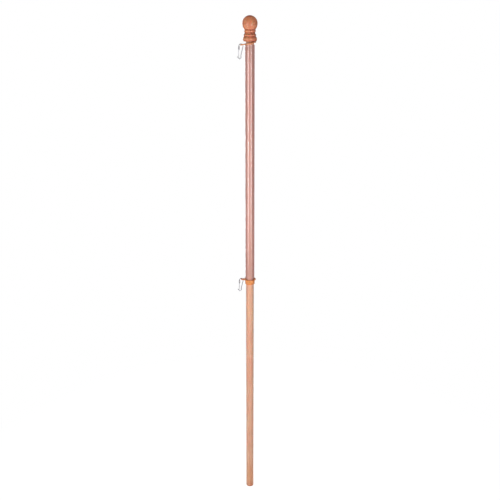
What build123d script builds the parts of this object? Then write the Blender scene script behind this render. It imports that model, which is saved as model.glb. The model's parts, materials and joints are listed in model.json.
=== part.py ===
from build123d import *

import os
from math import cos, radians, sin, sqrt, tan

# Wooden flag pole with a ball finial and a clear tube that turns freely on its upper half, so that
# a flag clipped to the two tab rings can't wrap itself round the pole.
# Millimetres. The origin is the middle of the pole's butt end, +Z runs up the pole, the tabs and
# their clips point along -X, and the front is -Y.

# ---- Fits --------------------------------------------------------------------------------------
seat_fit = 0.05  # radial room of a seat that is pushed together
pivot_fit = 0.06  # radial room of a pin that turns in its hole
running_gap = 0.3  # room between two pieces that move past each other

# ---- Pole --------------------------------------------------------------------------------------
pole_radius = 12.7
lower_shaft_length = 762.0  # butt end to the shoulder that carries the stop collar
shoulder_step = 0.3  # the upper shaft is turned down by this much on the radius
butt_rounding = 3.0

# ---- Stop collar and its screw -----------------------------------------------------------------
collar_height = 15.0
collar_wall = 2.95
collar_bevel = 1.8
collar_bevel_height = 2.4
collar_top_rounding = 0.5
collar_screw_height = 10.2  # above the collar's underside
collar_screw_head_radius = 2.3
collar_screw_head_height = 1.3
collar_screw_radius = 1.1
collar_screw_length = 12.0
collar_screw_slot = 0.6  # width and depth of the driver slot

# ---- Tab rings, two of one pattern -------------------------------------------------------------
ring_play = 1.1  # radial room round the upper shaft
ring_band = 5.8
ring_thickness = 3.0
ring_edge_break = 0.3
tab_reach = 23.6  # pole axis to the middle of the clip hole
tab_hole_radius = 3.0
tab_rim = 3.0  # material round the clip hole
tab_root_rounding = 4.0
upper_ring_tilt = 11.0  # degrees, tab side down, as the hanging clip leaves it

# ---- Anti-wrap tube ----------------------------------------------------------------------------
tube_length = 744.5
tube_wall = 0.8
tube_play = 1.2  # radial room round the upper shaft

# ---- Finial, its heights counted from its underside --------------------------------------------
finial_socket_depth = 8.0
base_radius = 21.4
base_underside_radius = 19.2
base_height = 13.4
base_rim_radius = 18.7
groove_radius = 17.8  # floor of the sharp groove between base and bead
groove_height = 1.1
bead_radius = 18.9
bead_height = 7.2
cove_rim_radius = 16.6
cove_radius = 15.7
cove_height = 5.2
neck_bead_radius = 17.6
neck_bead_height = 6.6
neck_groove_radius = 16.1
neck_groove_height = 0.9
ball_seat_radius = 16.9
ball_radius = 23.0
ball_lower_height = 17.8  # ball seat to the ball's widest line

# ---- Dowel screw that holds the finial ---------------------------------------------------------
dowel_radius = 3.0
dowel_root_radius = 2.3
dowel_length = 50.0
dowel_plain_length = 10.0
dowel_pitch = 2.5
dowel_point_length = 3.0

# ---- Snap clips, two of one pattern, sizes in the clip's own upright plane -----------------------
wire_radius = 1.0
loop_radius = 6.1  # of the wire's centre line, round the tab's rim
spine_lean = 13.0  # degrees from upright
spine_length = 29.5
shoulder_bulge = 2.0
shoulder_drop = 2.6
cradle_shift = 4.1
cradle_depth = 8.6
nose_reach = 5.8
nose_rise = 7.0
wire_bend_radius = 1.5
cradle_bend_radius = 1.9
ferrule_radius = 2.0
ferrule_length = 9.5
ferrule_drop = 1.0  # loop's middle to the ferrule's top
wire_grip = 4.5  # how far the wire goes into the ferrule
gate_wire_radius = 0.7
gate_pivot_height = 2.4  # above the ferrule's lower end
gate_end_gap = 0.9  # between the gate's two turned-in ends
gate_seat_overlap = 2.6  # nose tip to the place where the gate closes, along the nose
gate_bend_radius = 0.9
gate_end_radius = 1.9
ferrule_edge_break = 0.3

# ---- Worked out from the sizes above -------------------------------------------------------------
upper_radius = pole_radius - shoulder_step
collar_radius = upper_radius + seat_fit + collar_wall
collar_screw_z = lower_shaft_length + collar_screw_height

ring_bore_radius = upper_radius + ring_play
ring_radius = ring_bore_radius + ring_band
tab_end_radius = tab_hole_radius + tab_rim
tab_middle = tab_reach + tab_hole_radius + tab_rim / 2  # pole axis to the middle of the clip's seat
clip_drop = sqrt((loop_radius - wire_radius - running_gap) ** 2 - (tab_rim / 2) ** 2)

lower_ring_z = lower_shaft_length + collar_height + running_gap
tube_z = lower_ring_z + ring_thickness + running_gap
tube_top = tube_z + tube_length
tube_bore_radius = upper_radius + tube_play
tube_radius = tube_bore_radius + tube_wall

# The upper ring leans on the tube's rim on the tab side and reaches the finial on the other side.
tilt = radians(upper_ring_tilt)
upper_ring_x = ring_thickness / 2 * sin(tilt)
upper_ring_z = tube_top + running_gap + (tube_radius + upper_ring_x) * tan(tilt)
finial_z = upper_ring_z + ring_radius * sin(tilt) + ring_thickness * cos(tilt) + running_gap
pole_length = finial_z + finial_socket_depth

lower_ring_plane = Plane(origin=(0, 0, lower_ring_z))
upper_ring_plane = Plane(
    origin=(upper_ring_x, 0, upper_ring_z),
    x_dir=(cos(tilt), 0, sin(tilt)),
    z_dir=(-sin(tilt), 0, cos(tilt)),
)

# A clip hangs from the middle of its loop, which is also the middle of its swing.
clip_seat = (-tab_middle, 0, ring_thickness - clip_drop)
lower_clip_origin = lower_ring_plane.from_local_coords(clip_seat)
upper_clip_origin = upper_ring_plane.from_local_coords(clip_seat)

# Corners of the hook's wire, from the loop's middle.
lean = radians(spine_lean)
loop_end = Vector(loop_radius * cos(lean), -loop_radius * sin(lean))
spine_end = loop_end + Vector(-sin(lean), -cos(lean)) * spine_length
shoulder = spine_end + Vector(shoulder_bulge, -shoulder_drop)
cradle = spine_end + Vector(-cradle_shift, -cradle_depth)
nose = cradle + Vector(-nose_reach, nose_rise)
hook_corners = [tuple(corner) for corner in (loop_end, spine_end, shoulder, cradle, nose)]

# The gate closes against the inner side of the nose.
nose_direction = Vector(-nose_reach, nose_rise).normalized()
nose_inner_side = Vector(nose_direction.Y, -nose_direction.X)
gate_closed_gap = wire_radius + gate_wire_radius + running_gap
gate_tip = nose - nose_direction * gate_seat_overlap + nose_inner_side * gate_closed_gap
gate_pivot = Vector(-loop_radius, -ferrule_drop - ferrule_length + gate_pivot_height)
gate_leg = gate_pivot - gate_tip
gate_side = ferrule_radius + running_gap + gate_wire_radius


# ---- Pole: one length of dowel, stepped at the collar ------------------------------------------
with BuildPart() as pole:
    Cylinder(pole_radius, lower_shaft_length, align=(Align.CENTER, Align.CENTER, Align.MIN))
    fillet(pole.edges().sort_by(Axis.Z)[0], butt_rounding)
    with BuildSketch(Plane.XY.offset(lower_shaft_length)):
        Circle(upper_radius)
    extrude(amount=pole_length - lower_shaft_length)
    with Locations(Plane.XY.offset(pole_length)):
        Hole(dowel_radius + seat_fit, depth=dowel_length / 2)
    with Locations(Plane(origin=(0, -upper_radius, collar_screw_z), z_dir=(0, -1, 0))):
        Hole(collar_screw_radius + seat_fit, depth=collar_screw_length - collar_wall)

pole.part.label = "pole"


# ---- Stop collar: slides down the upper shaft and stands on the shoulder ------------------------
collar_screw_plane = Plane(origin=(0, -collar_radius, collar_screw_z), z_dir=(0, -1, 0))

with BuildPart() as stop_collar:
    with BuildSketch(Plane.XZ):
        with BuildLine():
            Polyline(
                (upper_radius + seat_fit, lower_shaft_length),
                (collar_radius - collar_bevel, lower_shaft_length),
                (collar_radius, lower_shaft_length + collar_bevel_height),
                (collar_radius, lower_shaft_length + collar_height),
                (upper_radius + seat_fit, lower_shaft_length + collar_height),
                close=True,
            )
        make_face()
    revolve(axis=Axis.Z)
    fillet(stop_collar.edges().sort_by(Axis.Z)[-2:].sort_by(SortBy.LENGTH)[-1], collar_top_rounding)
    with Locations(collar_screw_plane):
        CounterSinkHole(
            radius=collar_screw_radius + seat_fit,
            counter_sink_radius=collar_screw_head_radius + seat_fit,
            depth=2 * collar_wall,
        )

stop_collar.part.label = "stop_collar"


# ---- Collar screw: slotted countersunk wood screw, driven in along +Y ---------------------------
# Its section plane has the head at the top and the point below, so local -Y is the way in.
screw_section_plane = Plane(collar_screw_plane.origin, x_dir=(1, 0, 0), z_dir=(0, 0, -1))

with BuildPart() as collar_screw:
    with BuildSketch(screw_section_plane):
        with BuildLine():
            Polyline(
                (0, 0),
                (collar_screw_head_radius, 0),
                (collar_screw_radius, -collar_screw_head_height),
                (collar_screw_radius, 2 * collar_screw_radius - collar_screw_length),
                (0, -collar_screw_length),
                close=True,
            )
        make_face()
    revolve(axis=Axis(collar_screw_plane.origin, collar_screw_plane.z_dir))
    with BuildSketch(collar_screw_plane):
        Rectangle(2 * collar_screw_head_radius + running_gap, collar_screw_slot)
    extrude(amount=-collar_screw_slot, mode=Mode.SUBTRACT)

collar_screw.part.label = "collar_screw"


# ---- Tab rings: a flat band with a drilled tab --------------------------------------------------
def tab_ring(plane):
    """A tab ring whose underside lies in the plane, with its tab along the plane's -X."""
    with BuildPart() as ring:
        with BuildSketch(plane) as outline:
            Circle(ring_radius)
            with Locations((-tab_reach / 2, 0)):
                Rectangle(tab_reach, 2 * tab_end_radius)
            with Locations((-tab_reach, 0)):
                Circle(tab_end_radius)
            tab_roots = outline.vertices().filter_by_position(Axis.X, -ring_radius, 0)
            fillet(tab_roots, tab_root_rounding)
            Circle(ring_bore_radius, mode=Mode.SUBTRACT)
            with Locations((-tab_reach, 0)):
                Circle(tab_hole_radius, mode=Mode.SUBTRACT)
        extrude(amount=ring_thickness)
        chamfer(ring.edges().filter_by(plane), ring_edge_break)
    return ring.part


lower_ring = tab_ring(lower_ring_plane)
lower_ring.label = "lower_ring"
upper_ring = tab_ring(upper_ring_plane)
upper_ring.label = "upper_ring"


# ---- Anti-wrap tube ------------------------------------------------------------------------------
with BuildPart() as tube:
    with BuildSketch(Plane.XY.offset(tube_z)):
        Circle(tube_radius)
        Circle(tube_bore_radius, mode=Mode.SUBTRACT)
    extrude(amount=tube_length)

tube.part.label = "tube"


# ---- Finial: turned mouldings under a ball --------------------------------------------------------
groove_z = base_height + groove_height
bead_z = groove_z + bead_height
cove_z = bead_z + cove_height
neck_z = cove_z + neck_bead_height
ball_z = neck_z + neck_groove_height
ball_middle = ball_z + ball_lower_height
finial_height = ball_middle + ball_radius
finial_plane = Plane(origin=(0, 0, finial_z), x_dir=(1, 0, 0), z_dir=(0, -1, 0))
socket_radius = upper_radius + seat_fit
dowel_bore_radius = dowel_radius + seat_fit
dowel_bore_top = finial_socket_depth + dowel_length / 2 + seat_fit

with BuildPart() as finial:
    with BuildSketch(finial_plane):
        with BuildLine():
            Line((socket_radius, 0), (base_underside_radius, 0))
            ThreePointArc(
                (base_underside_radius, 0),
                (base_radius, base_height / 2),
                (base_rim_radius, base_height),
            )
            Polyline(
                (base_rim_radius, base_height),
                (groove_radius, base_height),
                (groove_radius, groove_z),
            )
            ThreePointArc(
                (groove_radius, groove_z),
                (bead_radius, groove_z + bead_height / 2),
                (cove_rim_radius, bead_z),
            )
            ThreePointArc(
                (cove_rim_radius, bead_z),
                (cove_radius, bead_z + cove_height / 2),
                (cove_rim_radius, cove_z),
            )
            ThreePointArc(
                (cove_rim_radius, cove_z),
                (neck_bead_radius, cove_z + neck_bead_height / 2),
                (cove_rim_radius, neck_z),
            )
            Polyline(
                (cove_rim_radius, neck_z),
                (neck_groove_radius, neck_z),
                (neck_groove_radius, ball_z),
                (ball_seat_radius, ball_z),
            )
            TangentArc((ball_radius, ball_middle), (ball_seat_radius, ball_z), tangent=(0, -1))
            CenterArc((0, ball_middle), ball_radius, start_angle=0, arc_size=90)
            Polyline(
                (0, finial_height),
                (0, dowel_bore_top),
                (dowel_bore_radius, dowel_bore_top),
                (dowel_bore_radius, finial_socket_depth),
                (socket_radius, finial_socket_depth),
                (socket_radius, 0),
            )
        make_face()
    revolve(axis=Axis.Z)

finial.part.label = "finial"


# ---- Dowel screw: threaded both ways from a plain middle, half in the pole and half in the ball ----
def thread_corners(first, last):
    """Corners of the thread's outline, ridge by ridge, between two heights."""
    ridges = int((last - first) / dowel_pitch)
    corners = [(dowel_root_radius, first)]
    for ridge in range(ridges):
        foot = first + ridge * dowel_pitch
        corners.append((dowel_radius, foot + dowel_pitch / 2))
        corners.append((dowel_root_radius, foot + dowel_pitch))
    return corners


dowel_plane = Plane(origin=(0, 0, pole_length), x_dir=(1, 0, 0), z_dir=(0, -1, 0))
thread_end = dowel_length / 2 - dowel_point_length
upper_thread = thread_corners(dowel_plain_length / 2, thread_end)
lower_thread = [(radius, -height) for radius, height in reversed(upper_thread)]

with BuildPart() as finial_screw:
    with BuildSketch(dowel_plane):
        with BuildLine():
            Polyline(
                (0, -dowel_length / 2),
                *lower_thread,
                (dowel_radius, -dowel_plain_length / 2),
                (dowel_radius, dowel_plain_length / 2),
                *upper_thread,
                (0, dowel_length / 2),
                close=True,
            )
        make_face()
    revolve(axis=Axis.Z)

finial_screw.part.label = "finial_screw"


# ---- Snap clips: a bent wire hook, a ferrule crimped on its end, and a wire gate hinged in it ------
def clip_hook(plane):
    """The hook: one wire up from the ferrule, over the tab's rim, down the spine and into the nose."""
    with BuildPart() as hook:
        with BuildLine(plane) as path:
            Line((-loop_radius, -ferrule_drop - wire_grip), (-loop_radius, 0))
            CenterArc((0, 0), loop_radius, start_angle=180, arc_size=-180 - spine_lean)
            FilletPolyline(
                *hook_corners, radius=[wire_bend_radius, wire_bend_radius, cradle_bend_radius]
            )
        with BuildSketch(Plane(origin=path.line @ 0, z_dir=path.line % 0)):
            Circle(wire_radius)
        sweep()
        with Locations(path.line @ 1):
            Sphere(wire_radius)
    return hook.part


def clip_ferrule(plane):
    """The ferrule: a short sleeve with a cross hole for the gate's two turned-in ends."""
    top = plane.from_local_coords((-loop_radius, -ferrule_drop, 0))
    with BuildPart() as ferrule:
        with BuildSketch(Plane(origin=top, z_dir=(0, 0, -1))):
            Circle(ferrule_radius)
        extrude(amount=ferrule_length)
        chamfer(ferrule.edges().filter_by(GeomType.CIRCLE), ferrule_edge_break)
        with Locations(Plane(origin=top, z_dir=(0, 0, 1))):
            Hole(wire_radius + seat_fit, depth=ferrule_length)
        pivot = plane.from_local_coords((gate_pivot.X, gate_pivot.Y, ferrule_radius))
        with Locations(Plane(origin=pivot, z_dir=(0, -1, 0))):
            Hole(gate_wire_radius + pivot_fit, depth=2 * ferrule_radius)
    return ferrule.part


def clip_gate(plane):
    """The gate: a narrow U of springy wire, its ends turned in to the ferrule's cross hole."""
    pivot = plane.from_local_coords((gate_pivot.X, gate_pivot.Y, 0))
    leg = gate_leg.normalized()
    gate_plane = Plane(origin=pivot, x_dir=(0, 1, 0), z_dir=(leg.Y, 0, -leg.X))
    with BuildPart() as gate:
        with BuildLine(gate_plane) as path:
            FilletPolyline(
                (gate_end_gap / 2, 0),
                (gate_side, 0),
                (gate_side, -gate_leg.length),
                (-gate_side, -gate_leg.length),
                (-gate_side, 0),
                (-gate_end_gap / 2, 0),
                radius=[gate_bend_radius, gate_end_radius, gate_end_radius, gate_bend_radius],
            )
        with BuildSketch(Plane(origin=path.line @ 0, z_dir=path.line % 0)):
            Circle(gate_wire_radius)
        sweep()
    return gate.part


clip_makers = {"hook": clip_hook, "ferrule": clip_ferrule, "gate": clip_gate}
clip_origins = {"upper_clip": upper_clip_origin, "lower_clip": lower_clip_origin}
clip_parts = []
for clip_name, clip_origin in clip_origins.items():
    clip_plane = Plane(origin=clip_origin, x_dir=(1, 0, 0), z_dir=(0, -1, 0))
    for piece_name, make_piece in clip_makers.items():
        piece = make_piece(clip_plane)
        piece.label = f"{clip_name}_{piece_name}"
        clip_parts.append(piece)


# ---- One file for each piece ----------------------------------------------------------------------
os.makedirs("parts", exist_ok=True)
export_step(pole.part, "parts/pole.step")
export_step(stop_collar.part, "parts/stop_collar.step")
export_step(collar_screw.part, "parts/collar_screw.step")
export_step(lower_ring, "parts/lower_ring.step")
export_step(tube.part, "parts/tube.step")
export_step(upper_ring, "parts/upper_ring.step")
export_step(finial.part, "parts/finial.step")
export_step(finial_screw.part, "parts/finial_screw.step")
for piece in clip_parts:
    export_step(piece, f"parts/{piece.label}.step")
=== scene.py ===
"""Looks of a wooden flag pole with a ball finial, an anti-wrap tube, two tab rings and two clips.

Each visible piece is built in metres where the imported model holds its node, rides on the node's
body and stands for it. Places come from the frame, and sizes that it lacks are fields here.
"""

import json
import logging
import math
from dataclasses import dataclass, field
from enum import Enum
from typing import Any, Sequence

import bmesh
import bpy
from mathutils import Matrix, Vector


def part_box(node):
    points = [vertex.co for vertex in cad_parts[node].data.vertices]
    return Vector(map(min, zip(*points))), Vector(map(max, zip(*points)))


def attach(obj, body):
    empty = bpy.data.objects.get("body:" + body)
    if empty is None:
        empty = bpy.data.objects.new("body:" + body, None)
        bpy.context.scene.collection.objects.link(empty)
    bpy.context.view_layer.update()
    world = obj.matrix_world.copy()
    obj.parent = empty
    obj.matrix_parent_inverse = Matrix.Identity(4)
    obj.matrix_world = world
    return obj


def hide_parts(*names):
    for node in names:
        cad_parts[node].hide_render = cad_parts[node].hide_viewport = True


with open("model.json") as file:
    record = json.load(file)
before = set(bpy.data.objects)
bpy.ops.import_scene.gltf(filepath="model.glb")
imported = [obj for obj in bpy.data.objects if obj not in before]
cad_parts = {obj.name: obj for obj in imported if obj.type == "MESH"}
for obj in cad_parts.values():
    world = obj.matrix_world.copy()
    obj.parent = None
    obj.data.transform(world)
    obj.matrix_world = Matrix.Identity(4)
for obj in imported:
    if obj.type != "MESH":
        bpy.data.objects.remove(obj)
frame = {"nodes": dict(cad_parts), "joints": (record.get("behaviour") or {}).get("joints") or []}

MM = 0.001
ON_AXIS = 1e-9  # a turned piece's points this near the axis are on it
PROUD = 1.0 * MM  # how far a cutter stands out of the piece that it cuts
QUARTER = math.radians(90)
log = logging.getLogger("flag_pole")

Point = tuple[float, float]
Pace = tuple[float, float, float]
Colour = tuple[float, float, float, float]
Socket = bpy.types.NodeSocket


def srgb(red: int, green: int, blue: int) -> Colour:
    """Turns a colour as the eye sees it into the linear numbers that a shader takes.

    Args:
        red: Red, 0 to 255.
        green: Green, 0 to 255.
        blue: Blue, 0 to 255.

    Returns:
        The linear colour, with an alpha of 1.
    """
    def linear(level: int) -> float:
        """One channel, from 0 to 255, as a linear share."""
        share = level / 255
        return share / 12.92 if share <= 0.04045 else ((share + 0.055) / 1.055) ** 2.4

    return (linear(red), linear(green), linear(blue), 1.0)


def joint_place(name: str) -> Vector:
    """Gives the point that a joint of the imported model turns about.

    Args:
        name: The joint's name.

    Returns:
        The point in metres, in the row frame.
    """
    return next(Vector(joint["pos_m"]) for joint in frame["joints"] if joint["name"] == name)


def joint_limit(name: str) -> float:
    """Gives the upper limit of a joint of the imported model.

    Args:
        name: The joint's name.

    Returns:
        The limit in radians.
    """
    ranges = (joint["range_deg"] for joint in frame["joints"] if joint["name"] == name)
    return math.radians(next(ranges)[1])


# ---- Shapes --------------------------------------------------------------------------------------


class Outline:
    """The half outline of a turned piece, drawn point by point as (radius, height)."""

    ARC_STEP = math.radians(4)
    EASE_STEPS = 4
    HOLD = 3.0  # how many reaches from an eased corner a long face gets a point, to stay even

    def __init__(self, radius: float, height: float) -> None:
        """Starts the outline at a point."""
        self.points = [Vector((radius, height))]
        self.reaches: dict[int, float] = {}

    def line(self, radius: float, height: float, ease: float = 0.0) -> "Outline":
        """Draws straight to a point.

        Args:
            radius: The point's distance from the axis.
            height: The point's height.
            ease: How far the corner at that point is rounded back along both sides.

        Returns:
            The outline itself, to draw on.
        """
        self.points.append(Vector((radius, height)))
        if ease:
            self.reaches[len(self.points) - 1] = ease
        return self

    def arc(self, middle: Point, end: Point, ease: float = 0.0) -> "Outline":
        """Draws a round stretch through one point to another.

        Args:
            middle: A point that the arc passes.
            end: The arc's last point.
            ease: How far the corner at the end is rounded back along both sides.

        Returns:
            The outline itself, to draw on.
        """
        start, passed, last = self.points[-1], Vector(middle), Vector(end)
        centre = circle_middle(start, passed, last)
        first = heading(start - centre)
        to_passed = (heading(passed - centre) - first) % math.tau
        sweep = (heading(last - centre) - first) % math.tau
        if to_passed > sweep:
            sweep -= math.tau
        steps = max(2, math.ceil(abs(sweep) / self.ARC_STEP))
        reach = (start - centre).length
        for step in range(1, steps):
            angle = first + sweep * step / steps
            self.points.append(centre + Vector((math.cos(angle), math.sin(angle))) * reach)
        return self.line(*last, ease=ease)

    def eased(self) -> list[Vector]:
        """Rounds the noted corners.

        Returns:
            The outline's points, in order.
        """
        result: list[Vector] = []
        for index, corner in enumerate(self.points):
            reach = self.reaches.get(index)
            if reach is None:
                result.append(corner)
                continue
            before = self.points[index - 1] - corner
            after = self.points[(index + 1) % len(self.points)] - corner
            if before.length > 2 * self.HOLD * reach:
                result.append(corner + before.normalized() * self.HOLD * reach)
            start = corner + before.normalized() * reach
            end = corner + after.normalized() * reach
            for step in range(self.EASE_STEPS + 1):
                share = step / self.EASE_STEPS
                result.append(start.lerp(corner, share).lerp(corner.lerp(end, share), share))
            if after.length > 2 * self.HOLD * reach:
                result.append(corner + after.normalized() * self.HOLD * reach)
        return result


def heading(arm: Vector) -> float:
    """Gives the angle of a flat vector in radians."""
    return math.atan2(arm.y, arm.x)


def circle_middle(first: Vector, second: Vector, third: Vector) -> Vector:
    """Finds the middle of the circle through three points.

    Args:
        first: One flat point on the circle.
        second: Another.
        third: A third.

    Returns:
        The circle's middle.
    """
    ab, ac = second - first, third - first
    doubled = 2 * (ab.x * ac.y - ab.y * ac.x)
    along = ac.y * ab.length_squared - ab.y * ac.length_squared
    across = ab.x * ac.length_squared - ac.x * ab.length_squared
    return first + Vector((along, across)) / doubled


def arc_points(
    centre: Point, radius: float, start: float, sweep: float, step: float = 6.0
) -> list[Vector]:
    """Samples an arc in a flat plane.

    Args:
        centre: The arc's middle.
        radius: Its radius.
        start: Where it starts, in degrees.
        sweep: How far it goes, in degrees, negative for clockwise.
        step: The longest step between two points, in degrees.

    Returns:
        Flat points from the arc's start to its end.
    """
    steps = max(1, math.ceil(abs(sweep) / step))
    angles = (math.radians(start + sweep * index / steps) for index in range(steps + 1))
    return [Vector(centre) + Vector((math.cos(a), math.sin(a))) * radius for a in angles]


def bent(corners: Sequence[Vector], bends: Sequence[float], step: float = 9.0) -> list[Vector]:
    """Bends a straight-sided line round at its inner corners.

    Args:
        corners: The line's corners, ends included.
        bends: The bend radius at each inner corner.
        step: The longest step between two points of a bend, in degrees.

    Returns:
        Points along the line, with each bend as a round stretch.
    """
    line = [corners[0]]
    for before, corner, after, radius in zip(corners, corners[1:], corners[2:], bends):
        back, on = (before - corner).normalized(), (after - corner).normalized()
        half = back.angle(on) / 2
        middle = corner + (back + on).normalized() * radius / math.sin(half)
        start, end = corner + back * radius / math.tan(half), corner + on * radius / math.tan(half)
        turn = math.pi - 2 * half
        steps = max(3, math.ceil(turn / math.radians(step)))
        for share in (index / steps for index in range(steps + 1)):
            spoke = (start - middle) * math.sin((1 - share) * turn)
            spoke += (end - middle) * math.sin(share * turn)
            line.append(middle + spoke / math.sin(turn))
    line.append(corners[-1])
    return line


class WireEnd(Enum):
    """How a wire's end is finished: its last rings, as (share of radius along, share across)."""

    DOMED = tuple((math.sin(math.radians(a)), math.cos(math.radians(a))) for a in (20, 40, 60, 78))
    CUT = ((0.10, 0.97), (0.16, 0.88), (0.18, 0.76))


TIP = 1.02  # how far along a wire's very tip lies, as a share of how far its last ring does


def lofted(name: str, rings: Sequence[Sequence[Vector]], joined: bool = False) -> bpy.types.Object:
    """Skins a row of rings of points.

    Args:
        name: The piece's name.
        rings: The rings in order, each with the same number of points, or with one at a closed end.
        joined: Whether the last ring meets the first again, as round the wall of a tube.

    Returns:
        The piece, with its place in its mesh.
    """
    form = bmesh.new()
    loops = [[form.verts.new(point) for point in ring] for ring in rings]
    pairs = list(zip(loops, loops[1:]))
    if joined:
        pairs.append((loops[-1], loops[0]))
    for low, high in pairs:
        for index in range(max(len(low), len(high))):
            here, there = (
                [loop[at % len(loop)] for loop in (low, high)] for at in (index, index + 1)
            )
            form.faces.new(list(dict.fromkeys((here[0], *there, here[1]))))
    bmesh.ops.recalc_face_normals(form, faces=form.faces)
    return made(name, form)


def made(name: str, form: bmesh.types.BMesh) -> bpy.types.Object:
    """Turns a finished form into a piece of the scene.

    Args:
        name: The piece's name.
        form: Its form, which is freed.

    Returns:
        The piece.
    """
    mesh = bpy.data.meshes.new(name)
    form.to_mesh(mesh)
    form.free()
    piece = bpy.data.objects.new(name, mesh)
    bpy.context.scene.collection.objects.link(piece)
    return piece


def turned(
    name: str, outline: Outline, joined: bool = False, sides: int = 96, place: Matrix | None = None
) -> bpy.types.Object:
    """Turns an outline round the upright axis, as on a lathe.

    Args:
        name: The piece's name.
        outline: Its half outline. A point on the axis closes that end.
        joined: Whether the outline closes on itself, as the section of a ring or a tube does.
        sides: The number of points round the piece.
        place: Where the outline's own axis and foot lie, unless on the pole's axis.

    Returns:
        The piece.
    """
    place = place or Matrix.Identity(4)
    rings = []
    for radius, height in outline.eased():
        count = sides if radius > ON_AXIS else 1
        angles = (math.tau * index / count for index in range(count))
        points = (Vector((radius * math.cos(a), radius * math.sin(a), height)) for a in angles)
        rings.append([place @ point for point in points])
    return lofted(name, rings, joined)


def swept(
    name: str, path: Sequence[Vector], normal: Vector, radius: float, ends: tuple[WireEnd, WireEnd],
    sides: int = 20,
) -> bpy.types.Object:
    """Draws round wire along a line that lies in one plane.

    Args:
        name: The piece's name.
        path: The wire's centre line.
        normal: The direction square to the line's plane.
        radius: The wire's radius.
        ends: How the first and the last end are finished.
        sides: The number of points round the wire.

    Returns:
        The piece.
    """
    turns = [math.tau * index / sides for index in range(sides)]

    def ring(middle: Vector, along: Vector, reach: float) -> list[Vector]:
        """One ring of points round the wire."""
        spokes = (normal * math.cos(turn) + along.cross(normal) * math.sin(turn) for turn in turns)
        return [middle + spoke * reach for spoke in spokes]

    ways = [(b - a).normalized() for a, b in zip(path, path[1:])]
    headings = [ways[0], *((a + b).normalized() for a, b in zip(ways, ways[1:])), ways[-1]]
    rings = [ring(middle, along, radius) for middle, along in zip(path, headings)]
    caps = []
    for middle, out, way, end in zip(
        (path[0], path[-1]), (-radius, radius), (ways[0], ways[-1]), ends
    ):
        cap = [ring(middle + way * out * far, way, radius * wide) for far, wide in end.value]
        caps.append([*cap, [middle + way * out * end.value[-1][0] * TIP]])
    head, tail = caps
    return lofted(name, [*reversed(head), *rings, *tail])


def cut(piece: bpy.types.Object, cutter: bpy.types.Object) -> None:
    """Takes a cutter's form out of a piece and clears the cutter away.

    Args:
        piece: The piece to cut.
        cutter: The form to take out.
    """
    knife = piece.modifiers.new("cut", "BOOLEAN")
    knife.operation, knife.solver, knife.object = "DIFFERENCE", "EXACT", cutter
    bpy.context.view_layer.update()
    result = piece.evaluated_get(bpy.context.evaluated_depsgraph_get())
    mesh = bpy.data.meshes.new_from_object(result)
    piece.modifiers.remove(knife)
    whole, piece.data = piece.data, mesh
    mesh.name = whole.name
    for leftover in (whole, cutter.data):
        bpy.data.meshes.remove(leftover)


def smoothed(piece: bpy.types.Object, sharp_from: float = 38.0) -> None:
    """Shades a piece smooth across its soft edges and keeps its sharp ones.

    Args:
        piece: The piece.
        sharp_from: The angle between two faces from which their edge stays sharp, in degrees.
    """
    form = bmesh.new()
    form.from_mesh(piece.data)
    for face in form.faces:
        face.smooth = True
    for edge in form.edges:
        edge.smooth = edge.is_manifold and edge.calc_face_angle() < math.radians(sharp_from)
    form.to_mesh(piece.data)
    form.free()
    normals = piece.modifiers.new("even_normals", "WEIGHTED_NORMAL")
    normals.keep_sharp = True


# ---- Finishes ------------------------------------------------------------------------------------


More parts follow.
